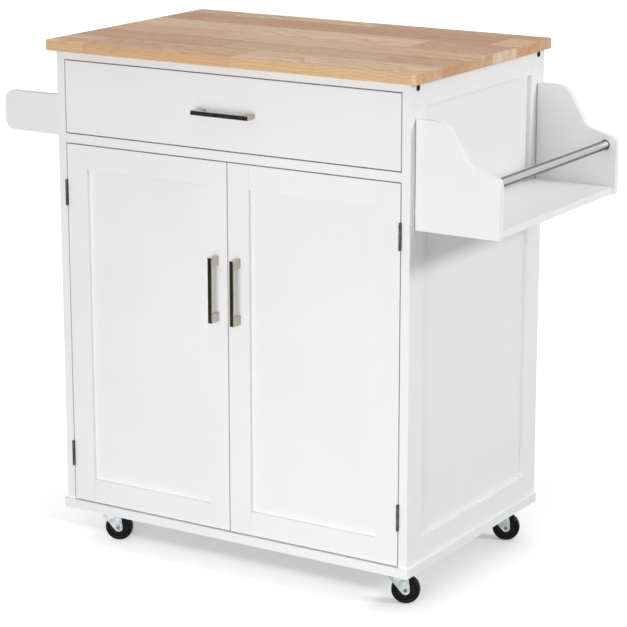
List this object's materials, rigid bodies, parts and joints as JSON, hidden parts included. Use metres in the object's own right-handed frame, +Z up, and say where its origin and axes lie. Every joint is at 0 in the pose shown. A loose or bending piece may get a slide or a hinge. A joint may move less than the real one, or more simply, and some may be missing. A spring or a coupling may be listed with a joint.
{
  "type": "kitchen island cart",
  "caption": "Painted kitchen cart on swivel casters with a solid wood worktop, drawer, paneled doors, side spice rack and towel rail.",
  "frame": {"origin": "on the floor under the middle of the whole cart, racks and pulls included", "axes": "+X to the right along the front, towards the spice rack, +Y towards the back, +Z up; the drawer and doors face -Y"},
  "size_m": [0.982, 0.491, 0.914],
  "materials": {
    "white_paint": "satin white paint on wood board",
    "oiled_hardwood": "oiled, sanded smooth",
    "drawer_board": "clear lacquer",
    "brushed_steel_rail": "brushed along the rail",
    "satin_nickel": "satin nickel plate",
    "zinc_steel": "bright zinc plate",
    "steel_axle": "plain steel",
    "wheel_plastic": "moulded, slightly dull",
    "black_bolt": "black oxide",
    "catch_plastic": "moulded"
  },
  "bodies": {
    "cabinet": {"worktop": "oiled_hardwood", "base_board": "white_paint", "back_panel": "white_paint", "front_top_rail": "white_paint", "front_mid_rail": "white_paint", "rear_top_rail": "white_paint", "left_side_stiles": "white_paint", "left_side_rails": "white_paint", "left_side_panel": "white_paint", "right_side_stiles": "white_paint", "right_side_rails": "white_paint", "right_side_panel": "white_paint", "top_brackets": "zinc_steel", "connector_bolts": "black_bolt", "shelf": "white_paint", "shelf_pins": "zinc_steel", "door_catch": "catch_plastic", "hinge_frame_leaves": "satin_nickel", "hinge_pins": "satin_nickel", "drawer_slide_channels": "zinc_steel", "rack_front_panel": "white_paint", "rack_rear_panel": "white_paint", "rack_shelf": "white_paint", "rack_bar": "brushed_steel_rail", "towel_front_bracket": "white_paint", "towel_rear_bracket": "white_paint", "towel_bar": "brushed_steel_rail", "caster_plates": "zinc_steel", "caster_screws": "zinc_steel"},
    "drawer": {"drawer_front": "white_paint", "drawer_sides": "drawer_board", "drawer_back": "drawer_board", "drawer_bottom": "drawer_board", "drawer_pull": "satin_nickel", "drawer_slide_runners": "zinc_steel"},
    "left_door": {"left_door_stiles": "white_paint", "left_door_rails": "white_paint", "left_door_panel": "white_paint", "left_door_pull": "satin_nickel", "left_hinge_leaves": "satin_nickel", "left_door_strike": "zinc_steel"},
    "right_door": {"right_door_stiles": "white_paint", "right_door_rails": "white_paint", "right_door_panel": "white_paint", "right_door_pull": "satin_nickel", "right_hinge_leaves": "satin_nickel", "right_door_strike": "zinc_steel"},
    "front_left_caster": {"front_left_fork": "zinc_steel", "front_left_axle": "steel_axle"},
    "front_left_roller": {"front_left_wheel": "wheel_plastic"},
    "front_right_caster": {"front_right_fork": "zinc_steel", "front_right_axle": "steel_axle"},
    "front_right_roller": {"front_right_wheel": "wheel_plastic"},
    "rear_left_caster": {"rear_left_fork": "zinc_steel", "rear_left_axle": "steel_axle"},
    "rear_left_roller": {"rear_left_wheel": "wheel_plastic"},
    "rear_right_caster": {"rear_right_fork": "zinc_steel", "rear_right_axle": "steel_axle"},
    "rear_right_roller": {"rear_right_wheel": "wheel_plastic"}
  },
  "joints": [
    {"name": "drawer_slide", "type": "slide", "parent": "cabinet", "child": "drawer", "axis": [0, -1, 0], "range_m": [0, 0.3]},
    {"name": "left_door_hinge", "type": "hinge", "parent": "cabinet", "child": "left_door", "pos_m": [-0.347, -0.2252, 0.4105], "axis": [0, 0, -1], "range_deg": [0, 170]},
    {"name": "right_door_hinge", "type": "hinge", "parent": "cabinet", "child": "right_door", "pos_m": [0.321, -0.2252, 0.4105], "axis": [0, 0, 1], "range_deg": [0, 170]},
    {"name": "front_left_swivel", "type": "hinge", "parent": "cabinet", "child": "front_left_caster", "pos_m": [-0.312, -0.1725, 0.056], "axis": [0, 0, 1], "continuous": true},
    {"name": "front_left_roll", "type": "hinge", "parent": "front_left_caster", "child": "front_left_roller", "pos_m": [-0.29387, -0.16405, 0.025], "axis": [-0.4226, 0.9063, 0], "continuous": true},
    {"name": "front_right_swivel", "type": "hinge", "parent": "cabinet", "child": "front_right_caster", "pos_m": [0.286, -0.1725, 0.056], "axis": [0, 0, 1], "continuous": true},
    {"name": "front_right_roll", "type": "hinge", "parent": "front_right_caster", "child": "front_right_roller", "pos_m": [0.30413, -0.16405, 0.025], "axis": [-0.4226, 0.9063, 0], "continuous": true},
    {"name": "rear_left_swivel", "type": "hinge", "parent": "cabinet", "child": "rear_left_caster", "pos_m": [-0.312, 0.1955, 0.056], "axis": [0, 0, 1], "continuous": true},
    {"name": "rear_left_roll", "type": "hinge", "parent": "rear_left_caster", "child": "rear_left_roller", "pos_m": [-0.29387, 0.20395, 0.025], "axis": [-0.4226, 0.9063, 0], "continuous": true},
    {"name": "rear_right_swivel", "type": "hinge", "parent": "cabinet", "child": "rear_right_caster", "pos_m": [0.286, 0.1955, 0.056], "axis": [0, 0, 1], "continuous": true},
    {"name": "rear_right_roll", "type": "hinge", "parent": "rear_right_caster", "child": "rear_right_roller", "pos_m": [0.30413, 0.20395, 0.025], "axis": [-0.4226, 0.9063, 0], "continuous": true}
  ]
}
